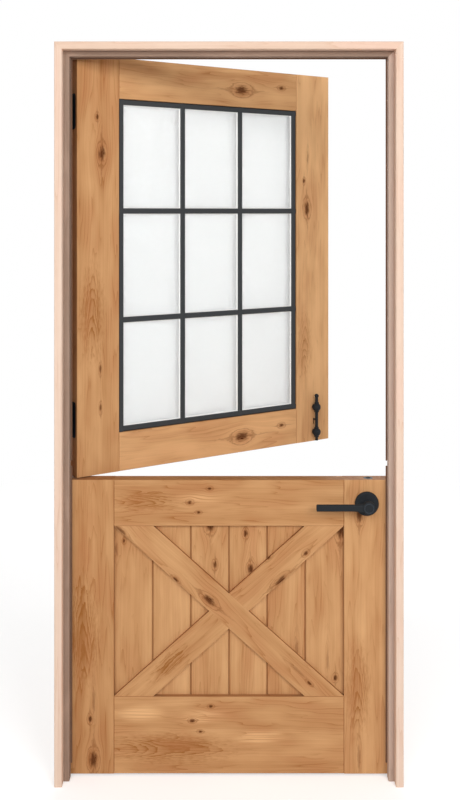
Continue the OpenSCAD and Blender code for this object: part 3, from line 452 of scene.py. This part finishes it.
# Upper leaf's stiles and rails: knotty alder, jointed with stub tenons, stained honey brown
# and finished with a matt lacquer. The marks are places on the closed leaf.
# Honey alder: an even warm brown with soft clouds, fine rings and frayed reddish knots
honey_alder = {
    "pale": "#E7B582", "deep": "#9C6333", "rosy": "#C9895F", "blush": 0.3, "rough": 0.46,
    "tone": -0.30, "fibre": 0.30, "band": 0.50, "cloud": 0.70,
    "ring": 0.30, "ring_mm": 10.0, "lean": 0.06, "heart": 20.0, "figure": 0.6,
    # The edge colour is the staining and the painted shade below the faces, in the joints and on the
    # edges.
    "knot": "#4A210C", "knot_rim": "#96542A", "vein": "#774420", "edge": "#7E4A24",
}
# Middle and half of the leaves' thickness, in millimetres along Y when closed
LEAF_MIDDLE, LEAF_HALF = 30.0, 22.5
leaf_thick = (LEAF_MIDDLE, LEAF_HALF)
# The shades lighten the upper leaf's lock stile and rails, which the lamps light less as the leaf stands
# open: painted light.
upper_timbers = {
    "upper_hinge_stile": dict(
        turn=UPRIGHT, middle=390, shade=0.04,
        knots=[(-394, 1855, 5, 1.6), (-380, 1751, 11, 2.0), (-383, 1134, 4, 3), (-383, 1023, 4, 3)],
        figured=[(-408, 1295, 36, 3.6)]),
    "upper_lock_stile": dict(
        turn=UPRIGHT, middle=-390, shade=-0.34,
        knots=[(354, 1684, 5, 1.6), (367, 1595, 10, 2.2), (367, 1759, 4, 6)],
        figured=[(355, 1150, 30, 3.4)]),
    "upper_top_rail": dict(
        turn=LEVEL, middle=1970, shade=-0.1, knots=[(108, 1964, 14, 1.8), (262, 1981, 6, 1.6)]),
    "upper_bottom_rail": dict(
        turn=LEVEL, middle=890, shade=-0.28, knots=[(108, 882, 14, 1.8), (262, 898, 6, 1.6)]),
}
for seed, (name, plank) in enumerate(upper_timbers.items()):
    wood = timber(f"honey_alder_{name}", honey_alder, seed=seed + 10, thick=leaf_thick,
                  on_upper_leaf=True, **plank)
    dress(name, wood)

# Glazing: a sealed unit of two panes on a spacer. The front pane is satin-etched,
# so the lights are soft white and show nothing of what is behind them.
GLASS_IOR = 1.45
# Etched glass: the frosted face scatters what passes through into an even white
frosted = {"Transmission Weight": 0.5, "IOR": GLASS_IOR}
etched = mottled("etched_glass", 90, ("#FBFCFC", "#F5F6F6"), (1.0, 1.0), frosted, detail=3.0)
dress("glass_pane", etched)

# Clear glass: float glass with only wipe marks on it, seen by its reflections
see_through = {"Transmission Weight": 1.0, "IOR": GLASS_IOR}
clear = mottled("clear_glass", 40, ("#FCFEFD", "#F9FCFB"), (0.02, 0.08), see_through)
dress("rear_glass_pane", clear)

# Spacer alloy: rolled aluminium, mill-bright with a slight drag, seen at a slant in the unit
BARE_METAL = {"Metallic": 1.0}
spacer = mottled("spacer_alloy", 6, ("#94979A", "#868A8D"), (0.35, 0.55), BARE_METAL)
dress("glazing_spacer", spacer)

# Grilles: metal bars welded into two frames, one on each side of the glass, which they hold.
# They are powder-coated dark grey after the welding.
# Powder coat: an orange-peel of broad grainy highlights, drawn coarser than life so that it shows
powder = mottled("powder_coat", 1.2, ("#2D3032", "#37393B"), (0.42, 0.58), {"Specular IOR Level": 0.3},
                 relief_mm=0.2)
dress("front_grille", powder)
dress("rear_grille", powder)

# Sealant: a thin white bead that the glazier runs into the corner between bars and glass,
# on both sides of the unit, which draws a pale line round each light.
# Millimetres on the closed leaf: width of the bead, middles of the bars, faces of the glass
BEAD = 3.0
BARS_X = np.linspace(-314.5, 314.5, 4)
BARS_Z = np.linspace(954.5, 1902.5, 4)
BAR_HALF = 8.0
FRONT_GLASS_Y, REAR_GLASS_Y = 18.0, 42.0


def swung(points):
    """Places in millimetres on the closed upper leaf, as metres on the leaf standing open."""
    flat = points[..., :2] / MM - PIN[:2]
    turned = flat @ SWING
    return np.concatenate([turned + PIN[:2], points[..., 2:] / MM], axis=-1)


def skin_of(name, points, material, body):
    """One object from patches of closed rings: points[patch, ring, place on the ring, xyz].

    Neighbouring rings are joined by quads; rings of no width close to a point.
    """
    index = np.arange(points[..., 0].size).reshape(points.shape[:3])
    beside = np.roll(index, -1, axis=2)
    quads = np.stack([index[:, :-1], beside[:, :-1], beside[:, 1:], index[:, 1:]], axis=-1)
    mesh = bpy.data.meshes.new(name)
    mesh.from_pydata(points.reshape(-1, 3).tolist(), [], quads.reshape(-1, 4).tolist())
    shell = bmesh.new()
    shell.from_mesh(mesh)
    bmesh.ops.remove_doubles(shell, verts=shell.verts, dist=1e-6)
    bmesh.ops.dissolve_degenerate(shell, edges=shell.edges, dist=1e-7)
    bmesh.ops.recalc_face_normals(shell, faces=shell.faces)
    shell.to_mesh(mesh)
    shell.free()
    mesh.shade_smooth()
    mesh.set_sharp_from_angle(angle=radians(35))
    mesh.materials.append(material)
    made = bpy.data.objects.new(name, mesh)
    bpy.context.scene.collection.objects.link(made)
    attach(made, body)
    return made


# White sealant: tooled silicone, smooth and slightly soft, with a faint unevenness from the finger
sealant = mottled("white_sealant", 20, ("#F8F8F6", "#F2F2EF"), (0.38, 0.52))

# Section: from the corner in along the glass, up to the bar and back, carried round each light
bead_in = np.array([0, BEAD, 0, 0])
bead_out = np.array([0, 0, BEAD, 0])
left, low = np.meshgrid(BARS_X[:-1] + BAR_HALF, BARS_Z[:-1] + BAR_HALF)
right, top = np.meshgrid(BARS_X[1:] - BAR_HALF, BARS_Z[1:] - BAR_HALF)
left, low = left.reshape(-1, 1) + bead_in, low.reshape(-1, 1) + bead_in
right, top = right.reshape(-1, 1) - bead_in, top.reshape(-1, 1) - bead_in
ring_x = np.stack([left, right, right, left], axis=-1)
ring_z = np.stack([low, low, top, top], axis=-1)
for side, glass_y, outward in (("front", FRONT_GLASS_Y, -1), ("rear", REAR_GLASS_Y, 1)):
    ring_y = np.broadcast_to((glass_y + outward * bead_out)[None, :, None], ring_x.shape)
    skin_of(f"{side}_sealant", swung(np.stack([ring_x, ring_y, ring_z], axis=-1)), sealant, "upper_leaf")

# Lower leaf's stiles and rails: the same alder, grooved round the panel for the boards.
# Both rails are cut from neighbouring planks, so they show alike knots and pale patches.
# The shades paint the hinge stile darker and the lock stile lighter, as light from the lock side would
# leave them: painted shade and light.
lower_timbers = {
    "lower_hinge_stile": dict(
        turn=UPRIGHT, middle=390, shade=0.12,
        knots=[(-392, 159, 6, 1.6), (-380, 45, 12, 2.0), (-380, 211, 5, 7)],
        figured=[(-408, 410, 40, 3.6)]),
    "lower_lock_stile": dict(
        turn=UPRIGHT, middle=-390, shade=-0.06,
        knots=[(367, 731, 9, 2.0), (366, 52, 5, 7)],
        figured=[(360, 245, 34, 3.6)]),
    "lower_top_rail": dict(
        turn=LEVEL, middle=765, shade=0.06,
        knots=[(-54, 807, 4, 1.5), (-110, 770, 5, 1.5), (-85, 742, 4, 1.5)],
        pale=[(-78, 780, 22, 4)],
        figured=[(-235, 768, 26, 3.2)]),
    "lower_bottom_rail": dict(
        turn=LEVEL, middle=110, shade=0.06,
        knots=[(-51, 193, 4, 1.5), (-103, 155, 5, 1.5), (-80, 124, 4, 1.5)],
        pale=[(-78, 165, 22, 4), (-243, 178, 26, 3.2), (80, 106, 28, 3)],
        figured=[(-160, 75, 42, 3.8)]),
}
for seed, (name, plank) in enumerate(lower_timbers.items()):
    dress(name, timber(f"honey_alder_{name}", honey_alder, seed=seed + 20, thick=leaf_thick, **plank))


# Boards of the panel: tongued and grooved alder with V joints, slid into the groove dry.
# Staining runs down into each V and dries darker there, and painted shade darkens each V as well.
def thickness(name):
    """Middle and half of a node's thickness, in millimetres."""
    low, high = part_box(name)
    return MM * (low.y + high.y) / 2, MM * (high.y - low.y) / 2


board_knots = {
    1: [(-296, 655, 4, 1.4), (-318, 630, 4, 6)],
    3: [(-53, 697, 12, 1.3), (-39, 588, 6, 1.7)],
    4: [(46, 676, 6, 1.7), (60, 576, 8, 1.7)],
    5: [(192, 352, 5, 7)],
    6: [(313, 686, 12, 2), (301, 268, 6, 1.4), (278, 318, 4, 8)],
}
for board in range(1, 7):
    name = f"board_{board}"
    low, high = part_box(name)
    middle = -MM * (low.x + high.x) / 2
    wood = timber(f"honey_alder_{name}", honey_alder, UPRIGHT, board + 30, middle,
                  knots=board_knots.get(board, []), thick=thickness(name))
    dress(name, wood)

# Braces: alder slats laid crosswise on the boards on both faces, the long one whole
# and the other cut in two where it meets the long one.
# Part of the box's width, in metres, that a slat's slanting end takes up
BRACE_END = 0.110
low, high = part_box("front_long_brace")
brace_turn = np.arctan2(high.z - low.z, high.x - low.x - BRACE_END)
brace_middle = MM * (high.z + low.z) / 2 * cos(brace_turn)
braces = {
    "long_brace": dict(
        turn=-brace_turn,
        knots=[(-149, 551, 5, 2), (-306, 688, 7, 3), (-53, 493, 9, 2.4),
               (228, 261, 4, 2.2), (195, 295, 4, 8)]),
    "upper_brace": dict(
        turn=brace_turn,
        knots=[(185, 682, 5, 4), (111, 613, 5, 1.6), (216, 624, 5, 1.6), (145, 549, 9, 2.4)]),
    "lower_brace": dict(turn=brace_turn, figured=[(-170, 311, 22, 3.2)]),
}
for seed, (kind, slat) in enumerate(braces.items()):
    for side in ("front", "rear"):
        name = f"{side}_{kind}"
        wood = timber(f"honey_alder_{name}", honey_alder, seed=seed + 40, middle=brace_middle,
                      thick=thickness(name), **slat)
        dress(name, wood)

# Hinges, strike, roses, levers and leaf bolt: iron and steel with one matt black coat.
# Hinges and plates are screwed to the wood, and the levers sit on a spindle through the leaf.
# Millimetres: the lever's axis, and the middle and half width of the turned ring on its boss
LEVER_X, LEVER_Z = 387.0, 765.0
RING_R, RING_HALF = 12.2, 1.3


def painted_ring_highlight(tree, place, patch, tint):
    """The coat's tint with a paler painted highlight on a ring round the lever's axis, where the turned
    ring's walls would catch the light, as strong as the noise.
    """
    flat = node(tree, "VectorMath", {0: place, 1: (MM, 0, MM), 2: (-LEVER_X, 0, -LEVER_Z)},
                operation="MULTIPLY_ADD")
    radius = node(tree, "VectorMath", {0: flat}, "Value", operation="LENGTH")
    ring = node(tree, "Math", {0: radius, 1: RING_R, 2: RING_HALF}, operation="COMPARE")
    ring = node(tree, "Math", {0: ring, 1: patch}, operation="MULTIPLY")
    return node(tree, "Mix", {0: ring, 6: tint, 7: linear("#4A5058")}, **TINT)


# Black iron: a thin sintered coat, slightly blue, that dulls every highlight and hides the metal.
# Its grain is drawn coarser than life, so that it shows.
black_coat = partial(
    mottled, patch_mm=2.5, tints=("#25272A", "#303336"), roughness=(0.38, 0.52),
    skin={"Specular IOR Level": 0.06}, detail=3.0, relief_mm=0.3)
iron = black_coat("black_iron")
black_pieces = [
    "strike_plate", "hinge_pins", "frame_screws", "upper_leaf_screws", "lower_leaf_screws",
    "bolt_upper_guide", "bolt_lower_guide", "bolt_rod", "bolt_strike_cup", "latch_faceplate",
    "front_rose", "rear_rose",
]
black_pieces += [f"hinge_{n}_{part}_leaf" for n in range(1, 5) for part in ("frame", "door")]
for name in black_pieces:
    dress(name, iron)

# Iron with a painted ring highlight: the same coat on the levers, painted paler on the turned ring of the
# boss, where its walls would catch the light
ring_highlight_iron = black_coat("rubbed_iron", rework=painted_ring_highlight)
for name in ("front_lever", "rear_lever"):
    dress(name, ring_highlight_iron)

# Screws of hinges, strike and face plate: countersunk steel with a cross recess, blacked
# like the plates they hold, and driven flush. They are drawn whole from head to tip.
HEAD_R, SHANK_R, SCREW_LEN, TIP_LEN = 4.2, 2.2, 18.0, 3.0
RECESS_LEN, RECESS_W, RECESS_D, RECESS_WALL = 2.6, 0.65, 1.3, 0.35
AROUND, HEAD_RINGS = 48, 26
# Screw places on a hinge leaf: in from its back edge, and above its middle
HINGE_SPOTS = [(12.24, 37.74), (12.24, -37.74), (23.76, 16.32), (23.76, -16.32)]
HINGES_Z = {"upper": (1869, 994), "lower": (671, 166)}
LEAF_X, JAMB_X, BACK_Y = 457.0, 460.0, LEAF_MIDDLE + LEAF_HALF
STRIKE_SPACING, FACE_PLATE_SPACING = 52.0, 43.0

# Outline from the middle of the head out, down the cone and shank, and in to the tip, turned round
angle = np.linspace(0, 2 * np.pi, AROUND, endpoint=False)
reach = np.concatenate([np.linspace(0, HEAD_R, HEAD_RINGS), [SHANK_R, SHANK_R, 0.0]])[:, None]
cone, tip = HEAD_R - SHANK_R, SCREW_LEN - TIP_LEN
sink = np.concatenate([np.zeros(HEAD_RINGS), [cone, tip, SCREW_LEN]])[:, None]
one, two = reach * np.cos(angle), reach * np.sin(angle)
# Recess: two crossed slots with sloping walls, as deep as the nearer wall and end allow
slot_wall = np.clip((RECESS_W - np.minimum(abs(one), abs(two))) / RECESS_WALL, 0, 1)
slot_end = np.clip((RECESS_LEN - reach) / RECESS_WALL, 0, 1)
sink = sink + RECESS_D * slot_wall * slot_end * (sink == 0)
screw = np.stack([np.broadcast_to(sink, one.shape), one, two], axis=-1)


def screws(name, spots, body, on_upper_leaf=False):
    """The screw set at each spot (x, y, z, way along X), as one object replacing its node."""
    spots = np.array(spots, dtype=float)
    ways = np.stack([spots[:, 3], np.ones(len(spots)), np.ones(len(spots))], axis=-1)
    points = screw * ways[:, None, None, :] + spots[:, None, None, :3]
    made = skin_of(f"{name}_crossed", swung(points) if on_upper_leaf else points / MM, iron, body)
    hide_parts(name)


def hinge_spots(heights, x, way):
    """Screw places of the hinges at these heights, in a face at x."""
    return [(x, BACK_Y - y, z + dz, way) for z in heights for y, dz in HINGE_SPOTS]


def plate_spots(spacing, x, way):
    """The two screw places of a latch plate, above and below the lever's height, in a face at x."""
    return [(x, LEAF_MIDDLE, LEVER_Z + dz, way) for dz in (-spacing / 2, spacing / 2)]


every_hinge = HINGES_Z["upper"] + HINGES_Z["lower"]
strike_spots = plate_spots(STRIKE_SPACING, JAMB_X, 1)
face_plate_spots = plate_spots(FACE_PLATE_SPACING, LEAF_X, -1)
screws("frame_screws", hinge_spots(every_hinge, -JAMB_X, -1) + strike_spots, "frame")
screws("upper_leaf_screws", hinge_spots(HINGES_Z["upper"], -LEAF_X, 1), "upper_leaf", True)
screws("lower_leaf_screws", hinge_spots(HINGES_Z["lower"], -LEAF_X, 1) + face_plate_spots, "lower_leaf")

# Latch, spindle and drop bolt: zinc-plated steel, mostly out of sight in the leaves.
# The latch case is let into the lower lock stile, and the drop bolt slides in the upper one.
# Zinc plate: a thin bright skin that mirrors softly; its spangle is drawn coarser so that it shows
zinc = mottled("zinc_steel", 4, ("#AFB1B3", "#A2A4A7"), (0.25, 0.42), BARE_METAL, detail=3.0)
for name in ("drop_bolt", "latch_case", "spindle", "latch_bolt"):
    dress(name, zinc)
